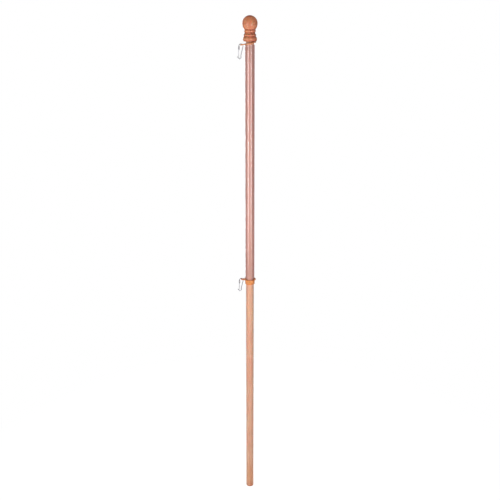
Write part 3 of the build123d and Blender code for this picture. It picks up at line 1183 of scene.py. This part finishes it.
@dataclass
class SnapClip:
    """One wire snap clip: a bent hook, a crimped ferrule and a sprung gate, hung in a tab."""

    end: TubeEnd
    wire_radius: float = 1.0 * MM
    loop_radius: float = 6.1 * MM
    spine_lean: float = 13.0
    spine_length: float = 29.5 * MM
    shoulder_bulge: float = 2.0 * MM
    shoulder_drop: float = 2.6 * MM
    cradle_shift: float = 4.1 * MM
    cradle_depth: float = 8.6 * MM
    nose_reach: float = 5.8 * MM
    nose_rise: float = 7.0 * MM
    wire_bends: tuple[float, float, float] = (1.5 * MM, 1.5 * MM, 1.9 * MM)
    ferrule_radius: float = 2.0 * MM
    ferrule_length: float = 9.5 * MM
    ferrule_drop: float = 1.0 * MM
    ferrule_bore: float = 1.05 * MM
    ferrule_ease: float = 0.18 * MM
    wire_grip: float = 4.5 * MM
    crimp_depth: float = 0.22 * MM
    crimp_reach: float = 0.5 * MM
    crimp_eases: tuple[float, float] = (0.1 * MM, 0.04 * MM)
    crimps: tuple[float, float] = (-3.6 * MM, -1.8 * MM)
    gate_wire_radius: float = 0.7 * MM
    gate_hole_radius: float = 0.76 * MM
    gate_end_gap: float = 0.9 * MM
    gate_side: float = 3.0 * MM
    gate_bends: tuple[float, ...] = (0.9 * MM, 1.9 * MM, 1.9 * MM, 0.9 * MM)
    gate_overlap: float = 2.6 * MM
    gate_gap: float = 2.0 * MM

    @property
    def name(self) -> str:
        """The clip's name and its body's."""
        return f"{self.end.value}_clip"

    def upright(self, x: float, z: float) -> Vector:
        """Gives a point of the clip's plane, from the middle of its loop."""
        return joint_place(f"{self.name}_swing") + Vector((x, 0.0, z))

    def hook_corners(self) -> list[Vector]:
        """Works out the corners of the hook below its loop.

        Returns:
            Flat points: the end of the loop, then the spine's end, shoulder, cradle and nose.
        """
        lean = math.radians(self.spine_lean)
        loop_end = Vector((self.loop_radius * math.cos(lean), -self.loop_radius * math.sin(lean)))
        spine_end = loop_end - Vector((math.sin(lean), math.cos(lean))) * self.spine_length
        shoulder = spine_end + Vector((self.shoulder_bulge, -self.shoulder_drop))
        cradle = spine_end - Vector((self.cradle_shift, self.cradle_depth))
        nose = cradle + Vector((-self.nose_reach, self.nose_rise))
        return [loop_end, spine_end, shoulder, cradle, nose]

    def hook(self) -> bpy.types.Object:
        """Bends the hook: up from the ferrule, over the tab's rim and down the spine to the nose.

        Returns:
            The hook.
        """
        stem = self.upright(-self.loop_radius, -self.ferrule_drop - self.wire_grip)
        loop = arc_points((0.0, 0.0), self.loop_radius, 180, -180 - self.spine_lean)
        foot = bent([Vector((*corner, 0.0)) for corner in self.hook_corners()], self.wire_bends)
        path = [stem, *(self.upright(*point) for point in loop)]
        path += [self.upright(point.x, point.y) for point in foot[1:]]
        ends = (WireEnd.CUT, WireEnd.DOMED)
        normal = Vector((0, 1, 0))
        return swept(f"{self.name}_bent_hook", path, normal, self.wire_radius, ends, sides=24)

    def ferrule(self) -> bpy.types.Object:
        """Turns the ferrule with two crimps where it grips the wire, and drills its cross hole.

        Returns:
            The ferrule.
        """
        radius, bore, ease = self.ferrule_radius, self.ferrule_bore, self.ferrule_ease
        low_ease, high_ease = self.crimp_eases
        outline = Outline(bore, -self.ferrule_length)
        outline.line(radius, -self.ferrule_length, ease)
        for crimp in self.crimps:
            outline.line(radius, crimp - self.crimp_reach, low_ease)
            pinched = (radius - self.crimp_depth, crimp)
            outline.arc(pinched, (radius, crimp + self.crimp_reach), high_ease)
        outline.line(radius, 0.0, ease).line(bore, 0.0, ease)
        top = Matrix.Translation(self.upright(-self.loop_radius, -self.ferrule_drop))
        sleeve = turned(f"{self.name}_crimped_ferrule", outline, joined=True, sides=48, place=top)
        pivot = Matrix.Translation(joint_place(f"{self.name}_gate_open"))
        across = Outline(0.0, -2 * radius).line(self.gate_hole_radius, -2 * radius)
        across.line(self.gate_hole_radius, 2 * radius).line(0.0, 2 * radius)
        crossways = pivot @ Matrix.Rotation(QUARTER, 4, "X")
        cut(sleeve, turned("cross_hole_cutter", across, sides=32, place=crossways))
        return sleeve

    def gate(self) -> bpy.types.Object:
        """Bends the gate: a narrow U of thin wire whose ends turn in to the ferrule's cross hole.

        Returns:
            The gate.
        """
        cradle, nose = self.hook_corners()[-2:]
        along = (nose - cradle).normalized()
        inner = Vector((along.y, -along.x))
        tip = nose - along * self.gate_overlap + inner * self.gate_gap
        pivot, low = joint_place(f"{self.name}_gate_open"), self.upright(*tip)
        side, end = Vector((0, self.gate_side, 0)), Vector((0, self.gate_end_gap / 2, 0))
        corners = [pivot + end, pivot + side, low + side, low - side, pivot - side, pivot - end]
        normal = (low - pivot).normalized().cross(Vector((0, 1, 0)))
        path, ends = bent(corners, self.gate_bends), (WireEnd.CUT, WireEnd.CUT)
        return swept(f"{self.name}_sprung_gate", path, normal, self.gate_wire_radius, ends)

    def build(self, wire: bpy.types.Material, sleeve: bpy.types.Material) -> None:
        """Makes the clip's three pieces and hangs them on their bodies.

        Args:
            wire: The hook's and the gate's finish.
            sleeve: The ferrule's finish.
        """
        fitted(self.hook(), wire, f"{self.name}_hook", self.name)
        fitted(self.ferrule(), sleeve, f"{self.name}_ferrule", self.name)
        fitted(self.gate(), wire, f"{self.name}_gate", f"{self.end.value}_gate")


# ---- The studio ----------------------------------------------------------------------------------


class LampSide(Enum):
    """Which lamp a soft box is, as its bearing in degrees: 0 is in front, 90 at the right."""

    LEFT_STRIP = -43.0
    RIGHT_STRIP = 31.0
    LOW_FILL = 17.0
    BACK_FILL = 180.0
    BACK_STRIP = -164.0
    TOP_FILL = 0.0


class CardSide(Enum):
    """Which dark card it is, as its bearing in degrees like a lamp's."""

    LEFT = -138.0
    RIGHT = 138.0


class LampUse(Enum):
    """What a soft box is for, as (shades the surfaces, shows in their gloss)."""

    SHADE = (True, False)
    GLEAM = (False, True)
    SHADE_AND_GLEAM = (True, True)


def around(
    thing: bpy.types.Object, bearing: float, distance: float, height: float, tip: float
) -> None:
    """Stands a thing beside the pole, turned to it.

    Args:
        thing: The lamp or card.
        bearing: Where it stands, in degrees.
        distance: How far from the pole's axis.
        height: Its height.
        tip: How far it is tipped up from its own frame, in degrees.
    """
    turn = math.radians(bearing)
    thing.location = (math.sin(turn) * distance, -math.cos(turn) * distance, height)
    thing.rotation_euler = (math.radians(tip), 0.0, turn)


@dataclass(frozen=True)
class SoftBox:
    """A soft box that faces the pole."""

    side: LampSide
    use: LampUse
    distance: float
    height: float
    width: float
    tall: float
    brightness: float  # what a white surface beside it would show
    tilt: float = 0.0  # degrees that it looks down

    def build(self) -> None:
        """Stands the soft box up."""
        lamp = bpy.data.lights.new(f"softbox_{self.side.name.lower()}", "AREA")
        lamp.shape, lamp.size, lamp.size_y = "RECTANGLE", self.width, self.tall
        lamp.energy = self.brightness * math.pi * self.width * self.tall
        stand = bpy.data.objects.new(lamp.name, lamp)
        around(stand, self.side.value, self.distance, self.height, 90 - self.tilt)
        stand.visible_camera = stand.visible_transmission = False
        stand.visible_diffuse, stand.visible_glossy = self.use.value
        bpy.context.scene.collection.objects.link(stand)
        log.info("%s: %.1f W", lamp.name, lamp.energy)


@dataclass(frozen=True)
class DarkCard:
    """A tall dark card behind the pole that shows only in gloss, so that round edges stay crisp."""

    side: CardSide
    distance: float = 1.3
    width: float = 1.4
    tall: float = 2.2
    tone: Colour = (0.03, 0.03, 0.03, 1.0)

    def build(self) -> None:
        """Stands the card up."""
        half = self.width / 2
        corners = (
            (-half, 0.0, 0.0), (half, 0.0, 0.0), (half, 0.0, self.tall), (-half, 0.0, self.tall)
        )
        form = bmesh.new()
        form.faces.new([form.verts.new(corner) for corner in corners])
        card = made(f"dark_card_{self.side.name.lower()}", form)
        around(card, self.side.value, self.distance, 0.0, 0.0)
        mix = Recipe("dark_card")
        mix.show(mix.node("ShaderNodeEmission", {"Color": self.tone}).outputs[0])
        card.data.materials.append(mix.material)
        card.visible_camera = card.visible_diffuse = False
        card.visible_transmission = card.visible_shadow = False


@dataclass(frozen=True)
class Studio:
    """The pale floor, the white surround, the lamps, the dark cards and the camera."""

    floor_radius: float = 1.6
    floor_drop: float = 0.2 * MM
    floor_tone: float = 0.8  # as the pole's light meets it
    shadow_tone: float = 0.4  # as seen, under a lift that leaves it white but for the shadow
    shadow_lift: float = 0.86
    plain_from: float = 0.35  # between these distances the seen floor turns plain white
    plain_to: float = 1.1
    surround: float = 0.12
    ceiling: Colour = (0.16, 0.155, 0.15, 1.0)
    ceiling_from: float = 0.12  # between these slopes upwards the surround turns into the ceiling
    ceiling_to: float = 0.62
    lens: float = 57.0
    sensor: float = 36.0
    pitch: float = 17.3
    camera_distance: float = 2.5713
    aim_height: float = 0.8790
    aim_side: float = 0.3 * MM

    def lamps(self) -> tuple[SoftBox, ...]:
        """Lists the lamps: strips for the gleam, two of them in front, and fills for the shade.

        Returns:
            The lamps.
        """
        return (
            SoftBox(
                LampSide.LEFT_STRIP, LampUse.SHADE_AND_GLEAM,
                distance=1.4, height=0.96, width=0.12, tall=1.08, brightness=38.5,
            ),
            SoftBox(
                LampSide.RIGHT_STRIP, LampUse.SHADE_AND_GLEAM,
                distance=1.4, height=0.96, width=0.16, tall=1.04, brightness=22.5,
            ),
            SoftBox(
                LampSide.LOW_FILL, LampUse.SHADE,
                distance=1.8, height=0.4, width=0.8, tall=0.7, brightness=1.7,
            ),
            SoftBox(
                LampSide.BACK_FILL, LampUse.SHADE,
                distance=1.6, height=1.0, width=0.3, tall=1.7, brightness=14.0,
            ),
            SoftBox(
                LampSide.BACK_STRIP, LampUse.GLEAM,
                distance=1.2, height=1.0, width=0.1, tall=1.7, brightness=14.0,
            ),
            SoftBox(
                LampSide.TOP_FILL, LampUse.SHADE,
                distance=0.0, height=3.4, width=0.6, tall=0.6, brightness=13.0, tilt=90.0,
            ),
        )

    def floor(self) -> None:
        """Lays a round white floor that keeps the pole's soft shadow near its foot."""
        form = bmesh.new()
        bmesh.ops.create_circle(form, cap_ends=True, segments=96, radius=self.floor_radius)
        bmesh.ops.translate(form, verts=form.verts, vec=(0.0, 0.0, -self.floor_drop))
        floor = made("floor", form)
        mix = Recipe("white_floor")
        point = mix.node("ShaderNodeTexCoord").outputs["Object"]
        reach = mix.node("ShaderNodeVectorMath", {0: point}, operation="LENGTH").outputs["Value"]
        pale, soft = (
            mix.node("ShaderNodeBsdfDiffuse", {"Color": (tone, tone, tone, 1.0)}).outputs[0]
            for tone in (self.floor_tone, self.shadow_tone)
        )
        lift, white = (
            mix.node("ShaderNodeEmission", {"Strength": strength}).outputs[0]
            for strength in (self.shadow_lift, 1.0)
        )
        shadowed = mix.node("ShaderNodeAddShader", {0: soft, 1: lift}).outputs[0]
        plain = mix.spread(reach, self.plain_from, self.plain_to)
        shown = mix.node("ShaderNodeMixShader", {0: plain, 1: shadowed, 2: white}).outputs[0]
        mix.show(mix.node("ShaderNodeMixShader", {0: mix.seen(), 1: pale, 2: shown}).outputs[0])
        floor.data.materials.append(mix.material)

    def world(self) -> None:
        """Surrounds the pole with white, and with a darker ceiling that the camera doesn't see."""
        world = bpy.data.worlds.new("studio")
        world.use_nodes = True
        bpy.context.scene.world = world
        mix = Nodes(world.node_tree)
        background = mix.tree.nodes["Background"].inputs
        white = (1.0, 1.0, 1.0, 1.0)
        direction = mix.node("ShaderNodeTexCoord").outputs["Generated"]
        up = mix.node("ShaderNodeSeparateXYZ", {0: direction}).outputs[2]
        sky = mix.blend(mix.spread(up, self.ceiling_from, self.ceiling_to), white, self.ceiling)
        camera = mix.node("ShaderNodeLightPath").outputs["Is Camera Ray"]
        mix.feed(background["Color"], mix.blend(camera, sky, white))
        mix.feed(background["Strength"], mix.spread(mix.seen(), 0.0, 1.0, self.surround, 1.0))

    def camera(self) -> None:
        """Sets the camera in front of the pole, looking a little down on it."""
        optics = bpy.data.cameras.new("camera")
        optics.lens, optics.sensor_width = self.lens, self.sensor
        camera = bpy.data.objects.new("camera", optics)
        pitch = math.radians(self.pitch)
        back = Vector((0.0, -math.cos(pitch), math.sin(pitch))) * self.camera_distance
        camera.location = Vector((self.aim_side, 0.0, self.aim_height)) + back
        camera.rotation_euler = (QUARTER - pitch, 0.0, 0.0)
        bpy.context.scene.collection.objects.link(camera)
        bpy.context.scene.camera = camera

    def build(self) -> None:
        """Sets up the whole studio."""
        bpy.context.scene.view_settings.view_transform = "Standard"
        self.camera()
        self.world()
        self.floor()
        for fitting in (*self.lamps(), *(DarkCard(side) for side in CardSide)):
            fitting.build()


def main() -> None:
    """Builds the studio and every piece of the pole."""
    logging.basicConfig(level=logging.INFO, format="%(message)s")
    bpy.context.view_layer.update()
    Studio().build()
    plastic = HoneyPlastic(
        "honey_plastic_moulded", body=srgb(222, 146, 82), deep=srgb(190, 104, 48)
    ).material()
    wire = PlatedMetal(
        "clip_wire_zinc", bright=srgb(132, 129, 135), dull=srgb(94, 92, 98), roughness=0.3
    ).material()
    sleeve = PlatedMetal(
        "clip_sleeve_zinc", bright=srgb(130, 127, 130), dull=srgb(94, 92, 96), roughness=0.38
    ).material()
    Pole().build()
    Finial().build()
    StopCollar().build(plastic)
    TabRing(TubeEnd.LOWER, tilt=0.0).build(plastic)
    TabRing(TubeEnd.UPPER, tilt=joint_limit("upper_ring_rock")).build(plastic)
    AntiWrapTube().build()
    for end in TubeEnd:
        SnapClip(end).build(wire, sleeve)


if __name__ == "__main__":
    main()
